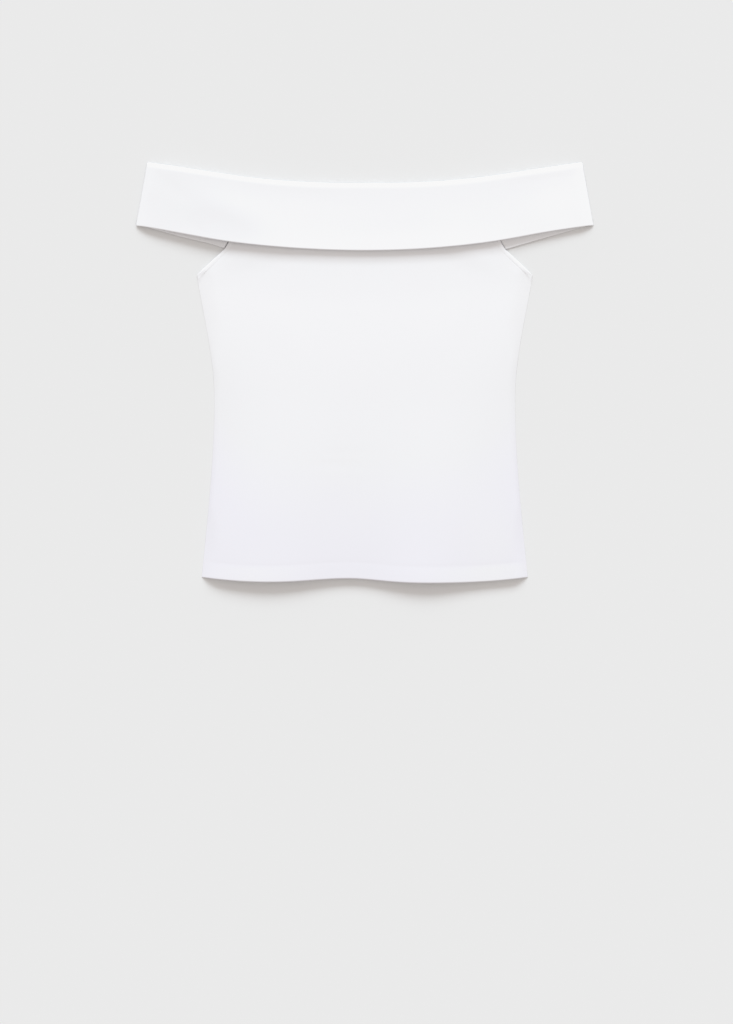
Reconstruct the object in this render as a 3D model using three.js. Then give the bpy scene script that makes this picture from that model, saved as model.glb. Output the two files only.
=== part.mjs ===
// An off-the-shoulder top in smooth white double knit, laid flat with its back on the surface.
// X runs across the garment, Y up towards the neckline, Z out of the surface. Millimetres.
// Layers, from the surface up: back collar, back body, front body, front collar. At each shoulder
// a short strap joins the front body to the back body, and folds over at the shoulder end.
import * as THREE from "three";

// Cloth
const CLOTH = 1; // one thickness of the knit
const COLLAR_CLOTH = 1.4; // the collar is cut double, from a thinner knit
const HEM_CLOTH = 2.4; // the hem is turned up on the inside, with its raw edge tucked in
const SEAM = 0.3; // clearance between pieces that are sewn or lie together

// Body, as half widths across the flat garment at heights above the part's origin
const BUST = { half: 190, y: 110, flare: 0.17 };
const WAIST = { half: 170, y: -31 };
const HEM = { half: 185, y: -238.2, flare: 0.095, depth: 20, step: 1 };
const HEM_LINE = { cornerRise: 7, notchX: -19, notchRise: 5.4, notchLeft: 60, notchRight: 48 };
const HEM_LINE_FADES = -90; // above this height the rows of the body run level
const BACK_HEM_SHORTER = 1.5;
const ARMHOLE_TOP = { x: 158.5, y: 139.5 }; // where the armhole edge meets the strap

// Collar, as it shows from above
const FOLD = { y: 213.8, level: 25, bend: 5.8e-4, bendTo: 158, end: 246 }; // the upper edge
const FREE = { y: 137.3, level: 0, bend: 4.78e-4, bendTo: 181, end: 258.6 }; // the loose edge
const COLLAR_DEPTH = FOLD.y - FREE.y;
const STAND = 10; // depth of the collar inside the neckline, from the fold to its seam
const BACK_SHORTER = 8; // the back collar stops this much nearer to the fold
const FREE_EDGE_LIFT = 1.5; // the front collar's loose edge stands this much off the body
const LIFT_WAVES = [
  // and it stands a little more or less off it here and there
  { x: -150, width: 65, height: 1.5 },
  { x: 105, width: 30, height: 0.5 },
  { x: 200, width: 35, height: -0.85 },
];

// Shoulder straps
const NECK_SEAM_HALF = 118; // where the strap seam meets the neckline seam
const STRAP_END_Y = 167.3; // the lower edge of a strap at the shoulder fold

// Binding of the body's edges, from the side seam up the armhole to the neckline seam
const BINDING = { width: 4.5, proud: 0.4, flatUnderCollar: 6 };

// How the front body lies over the back body
const BACK_RAMP = 24; // length over which the back body comes down off the back collar
const PUFF = 0.3; // the front stands this much off the back inside its edges
const PUFF_EDGE = 20; // distance from the side seam at which it has reached that
const PUFF_END = { far: 45, near: 5 }; // distances below the collar over which it goes again
const HEM_RAMP = { from: -20, to: -212 }; // the front rises slowly here to the double hem
const RIDGE_FULL = HEM.y - 60; // the ridges still rise where the hem cuts them off
const RIDGES = [
  // soft lengthwise ridges that end in the two bulges of the hem
  { x: -114, lean: 0.13, width: 62, height: 3.2, top: 40 },
  { x: 70, lean: 0.02, width: 47, height: 3.3, top: 20 },
];

const STACK = 2 * (COLLAR_CLOTH + CLOTH) + 3 * SEAM; // all the layers at the collar
const MIDDLE = STACK / 2; // height of the plane between front and back there

const lerp = THREE.MathUtils.lerp;
const smooth = THREE.MathUtils.smoothstep;
const steps = (from, to, count) =>
  Array.from({ length: count + 1 }, (_, i) => lerp(from, to, i / count));

// Height of a collar edge: level in the middle, then bent up, and straight towards the shoulders.
function edgeHeight(edge, x) {
  const out = Math.max(0, Math.abs(x) - edge.level);
  const arc = Math.min(out, edge.bendTo - edge.level);
  return edge.y + edge.bend * arc * (2 * out - arc);
}

// Height of the seam that joins the collar's stand to the body and the straps.
const neckSeam = (x) => edgeHeight(FOLD, x) - STAND - SEAM;

// Half width of the body: two cubics that meet, level, at the waist.
function sideHalf(y) {
  const end = y > WAIST.y ? BUST : HEM;
  const length = Math.abs(end.y - WAIST.y);
  const t = Math.abs(y - WAIST.y) / length;
  const widening = end.half - WAIST.half;
  const cubic = end.flare * length - 2 * widening;
  return WAIST.half + (widening - cubic) * t * t + cubic * t * t * t;
}

// The edge of the body above the side seam, as three points: the underarm, the top of the
// armhole and the end of the neckline seam. An inset moves it into the panel, between the same
// two seams.
function armholeEdge(inset) {
  const underarm = new THREE.Vector2(BUST.half, BUST.y);
  const corner = new THREE.Vector2(ARMHOLE_TOP.x, ARMHOLE_TOP.y);
  const neck = new THREE.Vector2(NECK_SEAM_HALF, neckSeam(NECK_SEAM_HALF));
  const inward = (a, b) => new THREE.Vector2(a.y - b.y, b.x - a.x).normalize();
  const fromArmhole = inward(underarm, corner);
  const fromStrap = inward(corner, neck);
  const sideSeam = new THREE.Vector2(BUST.flare, 1);
  const mitre = fromArmhole.clone().add(fromStrap);
  underarm.addScaledVector(sideSeam, inset / sideSeam.dot(fromArmhole));
  corner.addScaledVector(mitre, inset / (1 + fromArmhole.dot(fromStrap)));
  const neckX = neck.x + inset / fromStrap.x;
  return [underarm, corner, new THREE.Vector2(neckX, neckSeam(neckX))];
}

// A point on that edge: 0 at the underarm, 1 at the top of the armhole, 2 at the neckline.
function alongEdge(edge, t) {
  const [from, to] = t < 1 ? [edge[0], edge[1]] : [edge[1], edge[2]];
  return from.clone().lerp(to, t < 1 ? t : t - 1);
}

// Half width of the whole front or back, bindings included.
function outlineHalf(y) {
  if (y <= BUST.y) return sideHalf(y);
  const [underarm, corner, neck] = armholeEdge(0);
  const [low, high] = y < corner.y ? [underarm, corner] : [corner, neck];
  return lerp(low.x, high.x, (y - low.y) / (high.y - low.y));
}

// How far the hem lies above its lowest level: curved up at both corners, with a shallow notch.
function hemRise(x) {
  const reach = x < HEM_LINE.notchX ? HEM_LINE.notchLeft : HEM_LINE.notchRight;
  const notch = Math.exp(-(((x - HEM_LINE.notchX) / reach) ** 2));
  return HEM_LINE.cornerRise * (x / HEM.half) ** 4 + HEM_LINE.notchRise * notch;
}

// Height of the back body's underside: on the surface, and up over the back collar.
function backUnderside(x, y) {
  const collarEdge = edgeHeight(FREE, x) + BACK_SHORTER - SEAM;
  return (COLLAR_CLOTH + SEAM) * smooth(y, collarEdge - BACK_RAMP, collarEdge);
}

// Height of the front body's upper side.
function frontUpperSide(x, y) {
  const inset = outlineHalf(y) - Math.abs(x);
  const collarEdge = edgeHeight(FREE, x);
  const open = 1 - smooth(y, collarEdge - PUFF_END.far, collarEdge - PUFF_END.near);
  const puff = PUFF * open * smooth(inset, 0, PUFF_EDGE);
  const hem = 2 * (HEM_CLOTH - CLOTH) * (1 - smooth(y, HEM_RAMP.to, HEM_RAMP.from));
  let ridges = 0;
  for (const ridge of RIDGES) {
    const middle = ridge.x + ridge.lean * (y - HEM.y);
    const across = Math.exp(-(((x - middle) / ridge.width) ** 2));
    ridges += ridge.height * across * (1 - smooth(y, RIDGE_FULL, ridge.top));
  }
  const offEdge = smooth(inset, 0, 1.5 * PUFF_EDGE);
  return backUnderside(x, y) + 2 * CLOTH + SEAM + hem + puff + ridges * offEdge;
}

// A closed wall of cloth between two skins over one grid. Each skin gives a point for a column
// and a row; the first one faces the viewer when columns run right and rows run up.
function clothWall(columns, rows, facing, behind) {
  const positions = [];
  for (const skin of [facing, behind])
    for (const row of rows)
      for (const column of columns) positions.push(...skin(column, row));
  const lastColumn = columns.length - 1;
  const lastRow = rows.length - 1;
  const at = (i, j) => j * columns.length + i;
  const back = columns.length * rows.length;
  const faces = [];
  const quad = (a, b, c, d) => faces.push(a, b, c, a, c, d);
  for (let j = 0; j < lastRow; j += 1)
    for (let i = 0; i < lastColumn; i += 1) {
      const corners = [at(i, j), at(i + 1, j), at(i + 1, j + 1), at(i, j + 1)];
      quad(...corners);
      quad(...corners.map((corner) => corner + back).reverse());
    }
  const rim = (a, b) => quad(a, a + back, b + back, b);
  for (let i = 0; i < lastColumn; i += 1) {
    rim(at(i, 0), at(i + 1, 0));
    rim(at(i + 1, lastRow), at(i, lastRow));
  }
  for (let j = 0; j < lastRow; j += 1) {
    rim(at(lastColumn, j), at(lastColumn, j + 1));
    rim(at(0, j + 1), at(0, j));
  }
  const geometry = new THREE.BufferGeometry();
  geometry.setAttribute("position", new THREE.Float32BufferAttribute(positions, 3));
  geometry.setIndex(faces);
  geometry.computeVertexNormals();
  return geometry;
}

// The rows of a body panel from its hem to the neckline seam: half width, thickness of the
// cloth, and the height of a point across. The rows near the hem follow its line, and the
// panel stops short of the bindings.
function bodyRows(hemShorter) {
  const edge = armholeEdge(BINDING.width + SEAM);
  const [underarm, corner, neck] = edge;
  const hemTop = HEM.y + HEM.depth;
  const levels = [
    HEM.y + hemShorter,
    HEM.y + HEM.depth / 2,
    hemTop,
    ...steps(hemTop + HEM.step, underarm.y, 20),
  ];
  const sideRows = levels.map((level) => {
    const follow = 1 - smooth(level, hemTop, HEM_LINE_FADES);
    const half = sideHalf(level + follow * HEM_LINE.cornerRise);
    const thick = level <= hemTop ? HEM_CLOTH : CLOTH;
    return { half, thick, y: (x) => level + follow * hemRise(x) };
  });
  const upperRows = [1 / 3, 2 / 3, 1, 1.2, 1.4, 1.6, 1.8, 2].map((t) => {
    const half = alongEdge(edge, t).x;
    const level = alongEdge(edge, Math.min(1, t)).y;
    const bent = Math.max(0, t - 1);
    const y = (x) => lerp(level, neckSeam((x / half) * neck.x), bent);
    return { half, thick: CLOTH, y };
  });
  return [...sideRows, ...upperRows];
}

// Fractions across a body panel, closer together near the side seams.
function bodyColumns(count) {
  return steps(-1, 1, count).map((t) => Math.sign(t) * Math.sin((Math.abs(t) * Math.PI) / 2));
}

function frontBody() {
  const upper = (column, row) => {
    const x = column * row.half;
    const y = row.y(x);
    return [x, y, frontUpperSide(x, y)];
  };
  const lower = (column, row) => {
    const [x, y, z] = upper(column, row);
    return [x, y, z - row.thick];
  };
  return clothWall(bodyColumns(28), bodyRows(0), upper, lower);
}

function backBody() {
  const lower = (column, row) => {
    const x = column * row.half;
    const y = row.y(x);
    return [x, y, backUnderside(x, y)];
  };
  const upper = (column, row) => {
    const [x, y, z] = lower(column, row);
    return [x, y, z + row.thick];
  };
  return clothWall(bodyColumns(12), bodyRows(BACK_HEM_SHORTER), upper, lower);
}

// The front collar's section, from the loose edge up over the fold and down to the stand's seam.
// Each row gives the distance below the fold and the height of both skins, outer and inner.
function collarSection(flapRows) {
  const flapInner = STACK - COLLAR_CLOTH;
  const standTop = flapInner - SEAM;
  const turnMiddle = flapInner - SEAM / 2;
  const turnDepth = (STACK - MIDDLE) / 2;
  const flap = steps(COLLAR_DEPTH, turnDepth, flapRows)
    .slice(0, -1)
    .map((down) => ({ outer: [down, STACK], inner: [down, flapInner], loose: true }));
  const fold = steps(0, Math.PI, 6).map((turn) => {
    const thick = lerp(STACK - turnMiddle, turnMiddle - MIDDLE - SEAM / 2, turn / Math.PI);
    return {
      outer: [turnDepth * (1 - Math.sin(turn)), turnMiddle + thick * Math.cos(turn)],
      inner: [turnDepth - (SEAM / 2) * Math.sin(turn), turnMiddle + (SEAM / 2) * Math.cos(turn)],
      loose: false,
    };
  });
  const stand = [STAND / 2, STAND].map((down) => ({
    outer: [down, MIDDLE + SEAM / 2],
    inner: [down, standTop],
    loose: false,
  }));
  return [...flap, ...fold, ...stand];
}

// The collar's columns: a quarter turn round a shoulder end, across, and another quarter turn.
function collarColumns(count) {
  const turns = steps(Math.PI / 2, 0, 4).slice(0, -1);
  return [
    ...turns.map((turn) => ({ across: -1, turn })),
    ...steps(-1, 1, count).map((across) => ({ across, turn: 0 })),
    ...turns.toReversed().map((turn) => ({ across: 1, turn })),
  ];
}

// A point of the collar. The shoulder ends turn about a line in the middle plane, where the
// front and the back collar meet.
function collarPoint(column, [down, height], lift, shorter) {
  const share = down / COLLAR_DEPTH;
  const turnLine = lerp(FOLD.end, FREE.end, share) - MIDDLE;
  const off = height + lift(column.across * turnLine, column.across) * share ** 1.5 - MIDDLE;
  const x = column.across * turnLine + Math.sign(column.across) * off * Math.sin(column.turn);
  const y = lerp(edgeHeight(FOLD, x), edgeHeight(FREE, x) + shorter, share);
  const apart = (SEAM / 2) * (1 - Math.cos(column.turn));
  return [x, y, MIDDLE + off * Math.cos(column.turn) + apart];
}

// How far the front collar's loose edge stands off the body. It lies down towards the shoulders.
function edgeLift(x, across) {
  let lift = FREE_EDGE_LIFT * (1 - across ** 4);
  for (const { x: middle, width, height } of LIFT_WAVES)
    lift += height * Math.exp(-(((x - middle) / width) ** 2));
  return lift * (1 - across ** 8);
}

const LIES_FLAT = () => 0;

function frontCollar() {
  const skin = (side) => (column, row) =>
    collarPoint(column, row[side], row.loose ? edgeLift : LIES_FLAT, 0);
  return clothWall(collarColumns(28), collarSection(6), skin("outer"), skin("inner"));
}

// The back collar is the front one turned over. It lies flat, and is a little shorter.
function backCollar() {
  const skin = (side) => (column, row) => {
    const [x, y, z] = collarPoint(column, row[side], LIES_FLAT, BACK_SHORTER);
    return [x, y, STACK - z];
  };
  return clothWall(collarColumns(20), collarSection(3), skin("inner"), skin("outer"));
}

// A shoulder strap: a front and a back layer between the body and the shoulder, joined there by
// a half turn. Columns run out from the front body and round to the back body.
function shoulderStrap(side) {
  const upperEnd = lerp(FOLD.end, FREE.end, (STAND + SEAM) / COLLAR_DEPTH) - MIDDLE;
  const lowerEnd = FREE.end - MIDDLE - SEAM;
  const out = steps(0, 1, 6);
  const columns = [
    ...out.map((along) => ({ along, turn: 0 })),
    ...steps(0, Math.PI, 6)
      .slice(1, -1)
      .map((turn) => ({ along: 1, turn })),
    ...out.toReversed().map((along) => ({ along, turn: Math.PI })),
  ];
  const skin = (radius) => (column, row) => {
    const lowerX = lerp(ARMHOLE_TOP.x, lowerEnd, column.along);
    const upperX = lerp(NECK_SEAM_HALF, upperEnd, column.along);
    const x = lerp(lowerX, upperX, row);
    const y = lerp(lerp(ARMHOLE_TOP.y, STRAP_END_Y, column.along), neckSeam(upperX), row);
    const clear = SEAM * (1 - column.along) + radius * Math.sin(column.turn);
    const middle = backUnderside(x, y) + CLOTH + SEAM / 2;
    return [side * (x + clear), y, middle + radius * Math.cos(column.turn)];
  };
  const skins = [skin(CLOTH + SEAM / 2), skin(SEAM / 2)];
  if (side < 0) skins.reverse();
  return clothWall(columns, steps(0, 1, 5), ...skins);
}

// A binding round one edge of the front or the back body. It lies in the body's own layer, and
// on the front it stands a little proud, up to where the collar lies on it.
function armholeBinding(side, isFront) {
  const outer = armholeEdge(0);
  const inner = armholeEdge(BINDING.width);
  const skin = (share) => (along, across) => {
    const { x, y } = alongEdge(outer, along).lerp(alongEdge(inner, along), across);
    if (!isFront) return [side * x, y, backUnderside(x, y) + share * CLOTH];
    const collarEdge = edgeHeight(FREE, x);
    const open = 1 - smooth(y, collarEdge - BINDING.flatUnderCollar, collarEdge);
    const thick = CLOTH + BINDING.proud * open;
    return [side * x, y, frontUpperSide(x, y) - CLOTH + share * thick];
  };
  const skins = [skin(1), skin(0)];
  if (side < 0) skins.reverse();
  const alongs = [...steps(0, 1, 5), ...steps(1, 2, 10).slice(1)];
  return clothWall(alongs, [0, 0.5, 1], ...skins);
}

const WHITE_KNIT = { color: 0xf3f3f5, roughness: 0.85, metalness: 0 };

function piece(name, geometry) {
  const mesh = new THREE.Mesh(geometry, new THREE.MeshStandardMaterial(WHITE_KNIT));
  mesh.name = name;
  return mesh;
}

const top = new THREE.Group();
top.add(piece("back_collar", backCollar()));
top.add(piece("back_body", backBody()));
top.add(piece("front_body", frontBody()));
top.add(piece("front_collar", frontCollar()));
top.add(piece("shoulder_strap_left", shoulderStrap(-1)));
top.add(piece("shoulder_strap_right", shoulderStrap(1)));
top.add(piece("armhole_binding_front_left", armholeBinding(-1, true)));
top.add(piece("armhole_binding_front_right", armholeBinding(1, true)));
top.add(piece("armhole_binding_back_left", armholeBinding(-1, false)));
top.add(piece("armhole_binding_back_right", armholeBinding(1, false)));

export default top;
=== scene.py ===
"""The looks of an off-the-shoulder top in white double knit, laid flat on a pale surface.

Sizes are in metres. The cloth is made as thin shells on the forms of the part's solids, with
finer steps, rounded folds and edges, soft creases and sewing.
"""
import math
from collections import namedtuple

import bpy
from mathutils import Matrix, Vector


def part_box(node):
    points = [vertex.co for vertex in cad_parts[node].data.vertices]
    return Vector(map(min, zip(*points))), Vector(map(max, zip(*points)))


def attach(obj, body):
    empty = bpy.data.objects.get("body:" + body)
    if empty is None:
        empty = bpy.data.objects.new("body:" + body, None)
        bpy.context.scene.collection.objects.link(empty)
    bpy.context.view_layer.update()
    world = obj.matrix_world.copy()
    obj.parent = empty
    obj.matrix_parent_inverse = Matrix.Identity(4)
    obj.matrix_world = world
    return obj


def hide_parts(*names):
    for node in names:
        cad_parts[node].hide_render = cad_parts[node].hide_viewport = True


bl_info = {
    "name": "White knit top, laid flat",
    "version": (1, 0, 0),
    "blender": (4, 5, 0),
    "location": "View3D > Sidebar > Knit Top",
    "description": "Builds an off-the-shoulder top with a fold-over collar, laid flat",
    "category": "Add Mesh",
}

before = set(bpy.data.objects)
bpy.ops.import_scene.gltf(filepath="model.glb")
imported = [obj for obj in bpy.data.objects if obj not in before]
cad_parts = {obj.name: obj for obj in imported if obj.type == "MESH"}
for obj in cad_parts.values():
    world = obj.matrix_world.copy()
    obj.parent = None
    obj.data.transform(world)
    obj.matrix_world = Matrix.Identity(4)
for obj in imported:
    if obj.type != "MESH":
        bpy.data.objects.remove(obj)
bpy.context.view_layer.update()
MM = 0.001

# Places and sizes that the solids give
COLLAR_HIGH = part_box("front_collar")[1]
BINDING_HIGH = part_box("armhole_binding_front_right")[1]

# The cut, repeated from the part's source
CLOTH = 1 * MM
COLLAR_CLOTH = 1.4 * MM
HEM_CLOTH = 2.4 * MM
SEAM = 0.3 * MM
CollarEdge = namedtuple("CollarEdge", "y level bend bend_to end")
FOLD = CollarEdge(y=213.8 * MM, level=25 * MM, bend=0.58, bend_to=158 * MM, end=246 * MM)
FREE = CollarEdge(y=137.3 * MM, level=0, bend=0.478, bend_to=181 * MM, end=COLLAR_HIGH.x)
COLLAR_DEPTH = FOLD.y - FREE.y
STAND = 10 * MM
BACK_SHORTER = 8 * MM
FREE_EDGE_LIFT = 1.5 * MM
Wave = namedtuple("Wave", "x width height")
LIFT_WAVES = (
    Wave(x=-150 * MM, width=65 * MM, height=1.5 * MM),
    Wave(x=105 * MM, width=30 * MM, height=0.5 * MM),
    Wave(x=200 * MM, width=35 * MM, height=-0.85 * MM),
)
SideEnd = namedtuple("SideEnd", "half y flare")
BUST = SideEnd(half=BINDING_HIGH.x, y=110 * MM, flare=0.17)
HEM = SideEnd(half=185 * MM, y=-238.2 * MM, flare=0.095)
WAIST = SideEnd(half=170 * MM, y=-31 * MM, flare=0)
HEM_LINE_RISE = 7 * MM  # at both corners of the hem
HEM_NOTCH = {"x": -19 * MM, "rise": 5.4 * MM, "left": 60 * MM, "right": 48 * MM}
HEM_LINE_FADES = -90 * MM
BACK_HEM_SHORTER = 1.5 * MM
ARMHOLE_TOP = Vector((158.5 * MM, 139.5 * MM))
NECK_SEAM_HALF = 118 * MM
STRAP_END_Y = 167.3 * MM
STACK = 2 * (COLLAR_CLOTH + CLOTH) + 3 * SEAM
MIDDLE = STACK / 2

# How the front lies on the back, repeated from the part's source
BACK_RAMP = 24 * MM
PUFF = {"height": 0.3 * MM, "edge": 20 * MM, "far": 45 * MM, "near": 5 * MM}
HEM_RAMP = {"from": -20 * MM, "to": -212 * MM}
RIDGE_EDGE = 1.5 * PUFF["edge"]
RIDGE_FULL = HEM.y - 60 * MM
Ridge = namedtuple("Ridge", "x lean width height top")
RIDGES = (
    Ridge(x=-114 * MM, lean=0.13, width=62 * MM, height=3.2 * MM, top=40 * MM),
    Ridge(x=70 * MM, lean=0.02, width=47 * MM, height=3.3 * MM, top=20 * MM),
)

# Soft creases: where, how long and wide, turned how far from across, and how high or deep
Crease = namedtuple("Crease", "x y length width turn height")
FRONT_CREASES = (
    Crease(-132 * MM, 134 * MM, 28 * MM, 13 * MM, 10, 0.45 * MM),
    Crease(122 * MM, 133 * MM, 22 * MM, 12 * MM, -20, 0.45 * MM),
    Crease(-22 * MM, -91 * MM, 34 * MM, 5 * MM, 3, -0.06 * MM),
    Crease(-34 * MM, -104 * MM, 26 * MM, 5 * MM, -4, -0.09 * MM),
    Crease(-22 * MM, -160 * MM, 70 * MM, 24 * MM, 90, -0.25 * MM),
    Crease(136 * MM, -120 * MM, 80 * MM, 20 * MM, 84, -0.3 * MM),
    Crease(-156 * MM, -60 * MM, 90 * MM, 14 * MM, 94, -0.25 * MM),
    Crease(96 * MM, 60 * MM, 60 * MM, 22 * MM, 62, 0.15 * MM),
    Crease(-92 * MM, 48 * MM, 50 * MM, 20 * MM, 121, 0.15 * MM),
    Crease(-92 * MM, HEM.y, 52 * MM, 34 * MM, 4, 0.6 * MM),
    Crease(60 * MM, HEM.y, 40 * MM, 34 * MM, -3, 0.8 * MM),
)
# The back rests flat, and rises a little under the front's two ridges
BACK_CREASES = (
    Crease(-112 * MM, -160 * MM, 84 * MM, 24 * MM, 93, 0.5 * MM),
    Crease(72 * MM, -176 * MM, 72 * MM, 20 * MM, 89, 0.45 * MM),
)
CREASES_FADE = 12 * MM  # towards the body's outline
COLLAR_CREASES = (
    Crease(-152 * MM, 184 * MM, 44 * MM, 18 * MM, -18, 0.5 * MM),
    Crease(-247 * MM, 184 * MM, 20 * MM, 12 * MM, 78, -0.2 * MM),
    Crease(-214 * MM, 206 * MM, 26 * MM, 9 * MM, -34, -0.15 * MM),
    Crease(216 * MM, 208 * MM, 44 * MM, 22 * MM, 10, -0.4 * MM),
    Crease(36 * MM, 158 * MM, 90 * MM, 12 * MM, 2, -0.12 * MM),
    Crease(-60 * MM, 196 * MM, 60 * MM, 12 * MM, -5, -0.1 * MM),
)
COLLAR_CREASES_FADE = {"none": 3 * MM, "full": 14 * MM}  # below the fold

# Painted light and shade on the cloth, as shares of the whole shade: painted shade where the
# light falls off down the body, at the sides and below the collar, painted light where a tilt
# would catch the light, and less shade on the doubled hem. Two have the form of a crease, with
# their share as its height.
Fade = namedtuple("Fade", "share start end")
# Painted shade on the body below the collar, where its shadow fades out
SHADE_BELOW_COLLAR = Fade(share=0.32, start=20 * MM, end=72 * MM)
# Painted shade at the body's sides, where the cloth rounds over away from the light
SHADE_AT_SIDES = {"share": 0.28, "reach": 34 * MM, "less_at_bust": 0.6}
LIGHT_ON_HEM = Fade(share=0.2, start=13 * MM, end=21 * MM)
HEM_LIGHT_ACROSS = {"none": 40 * MM, "full": 140 * MM}
# Painted shade on the collar towards the left shoulder, where it is lit a little less
SHADE_TO_LEFT = Fade(share=0.22, start=60 * MM, end=190 * MM)
# Painted light on the collar towards the right shoulder, in place of a tilt towards the light
PAINTED_LIGHT_TO_RIGHT = Fade(share=0.2, start=140 * MM, end=220 * MM)
# Painted shade over the whole front collar, which offsets the light caught by its slope
COLLAR_SHADE = 0.2
GREYEST = 0.7  # the share at which the shade is grey, before it turns cool
# Painted light: a lighter patch at the hem's right corner, in place of a tilt towards the light
PAINTED_LIGHT_CORNER = Crease(158 * MM, -196 * MM, 44 * MM, 46 * MM, 0, 0.22)
# Painted shade: a darker patch where a shallow hollow would turn away from the light
PAINTED_HOLLOW_SHADE = Crease(-158 * MM, 164 * MM, 46 * MM, 20 * MM, -20, 0.5)

# Where the loose edge wanders up or down from its arc
EDGE_WANDERS = (
    Wave(x=-160 * MM, width=62 * MM, height=-1.3 * MM),
    Wave(x=205 * MM, width=48 * MM, height=1.25 * MM),
)
# How far in from each shoulder end the collar gets thinner, and by what share
EndPress = namedtuple("EndPress", "reach thinner")
END_PRESS = {-1: EndPress(reach=30 * MM, thinner=0.2), 1: EndPress(reach=64 * MM, thinner=0.3)}
END_ROLL = 15 * MM  # how far in from a shoulder end the collar rounds over
# By what share the collar comes down in rounding over, at its shoulder ends and at its fold
DOWN_AT_END = 0.6
DOWN_AT_FOLD = 0.4
# By what share each strap is pressed flat at its lower edge, and how far in that reaches
STRAP_PRESS = {-1: 0.15, 1: 0.5}
STRAP_PRESS_FADES = {"full": 2 * MM, "none": 18 * MM}
# How the left strap's lower edge bows up beside the armhole
STRAP_BOW = Wave(x=172 * MM, width=24 * MM, height=1.8 * MM)
# How thick each layer is pressed at the side seams
SEAM_LIE = 0.15 * MM
# How far in from the side seams the body rounds over near the bust and the hem, with the heights
# where that starts and where it is full
SideReach = namedtuple("SideReach", "reach start full")
BUST_REACH = SideReach(reach=22 * MM, start=0, full=60 * MM)
HEM_REACH = SideReach(reach=18 * MM, start=HEM.y + 90 * MM, full=HEM.y + 30 * MM)
# How steeply a slope starts, and how late the collar's loose edge lifts
SLOPE_POWER = 2.2
LIFT_POWER = 2.2
# The body's line of stitches at the hem, and its curl, which is less at the notch
HEM_SEAM = {"depth": 0.04 * MM, "below_top": 1.5 * MM, "width": 2 * MM}
NOTCH_CURL = {"share": 0.5, "near": 20 * MM, "far": 90 * MM}
# How far the body sinks where its binding covers it, and goes on under it
BODY_SINKS = {"depth": 0.08 * MM, "reach": 1.6 * MM}
UNDER_BINDING = 1.2 * MM
# The share of its thickness that cloth keeps at a rounded edge
THINNEST = {"panel": 0.2, "binding": 0.15, "strap": 0.3}
# A distance from an edge that is past all that happens near it
FAR = 1


class TopSizes(bpy.types.PropertyGroup):
    """Sizes that only the looks have"""

    side_roll: bpy.props.FloatProperty(
        name="Side Roll",
        description="How far in from the side seams the cloth starts to round over at the waist",
        default=10 * MM,
        min=1 * MM,
        unit="LENGTH",
    )
    edge_radius: bpy.props.FloatProperty(
        name="Edge Radius",
        description="Rounding of folded and turned edges",
        default=1 * MM,
        min=0.2 * MM,
        unit="LENGTH",
    )
    binding_width: bpy.props.FloatProperty(
        name="Binding Width",
        description="Width of the binding round the armhole edges",
        default=4.5 * MM,
        min=2 * MM,
        unit="LENGTH",
    )
    hem_depth: bpy.props.FloatProperty(
        name="Hem Depth",
        description="Depth of the turned-up hem",
        default=20 * MM,
        min=5 * MM,
        unit="LENGTH",
    )
    hem_curl: bpy.props.FloatProperty(
        name="Hem Curl",
        description="How far the hem lifts itself towards its edge",
        default=0.3 * MM,
        min=0,
        unit="LENGTH",
    )
    fold_roll: bpy.props.FloatProperty(
        name="Fold Roll",
        description="How far in from its fold the collar starts to round over",
        default=4.5 * MM,
        min=1 * MM,
        unit="LENGTH",
    )
    stitch_length: bpy.props.FloatProperty(
        name="Stitch Length",
        description="Length from one stitch to the next",
        default=3 * MM,
        min=1 * MM,
        unit="LENGTH",
    )
    thread: bpy.props.FloatProperty(
        name="Thread",
        description="Thickness of the sewing thread",
        default=0.35 * MM,
        min=0.1 * MM,
        unit="LENGTH",
    )


class TopFinish(bpy.types.PropertyGroup):
    """Colours and light"""

    knit: bpy.props.StringProperty(
        name="Knit",
        description="Colour of the cloth near the neckline, as sRGB hex",
        default="EAEAEC",
    )
    # Painted shade: a greyer copy of the knit, mixed in by each point's painted shade
    knit_shade: bpy.props.StringProperty(
        name="Knit in Shade",
        description="Colour of the cloth further down the body, a trace greyer, as sRGB hex",
        default="E4E4E6",
    )
    # Painted shade: a cooler copy of the knit for the deepest painted shade, near the hem and the
    # sides
    knit_cool: bpy.props.StringProperty(
        name="Knit in Cool Shade",
        description="Colour of the cloth near the hem and the sides, a trace bluer, as sRGB hex",
        default="E2E1E7",
    )
    floor: bpy.props.StringProperty(
        name="Surface",
        description="Colour of the surface that the top lies on, as sRGB hex",
        default="E0E0E0",
    )
    key_height: bpy.props.FloatProperty(
        name="Light Height",
        description="Angle of the soft light above the surface",
        default=math.radians(24.5),
        subtype="ANGLE",
    )
    key_spread: bpy.props.FloatProperty(
        name="Light Spread",
        description="Angle that the soft light fills, which sets how soft the shadows are",
        default=math.radians(21),
        subtype="ANGLE",
    )


# Shape of the garment, as functions of a place


def smooth(value, low, high):
    t = min(1, max(0, (value - low) / (high - low)))
    return t * t * (3 - 2 * t)


def lerp(a, b, t):
    return a + (b - a) * t


def steps(start, stop, count):
    return [lerp(start, stop, i / count) for i in range(count + 1)]


def roll(distance, radius):
    """Rises from 0 at an edge to 1 at a radius from it, along a quarter of a circle."""
    t = min(1, max(0, distance / radius))
    return math.sqrt(1 - (1 - t) ** 2)


def slope_up(distance, reach):
    """Rises from 0 at an edge to 1 at a reach from it, at a slope that eases off."""
    t = min(1, max(0, distance / reach))
    return 1 - (1 - t) ** SLOPE_POWER


def edge_height(edge, x):
    """Height of a collar edge: level in the middle, then bent up, and straight to the ends."""
    out = max(0, abs(x) - edge.level)
    arc = min(out, edge.bend_to - edge.level)
    return edge.y + edge.bend * arc * (2 * out - arc)


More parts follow.
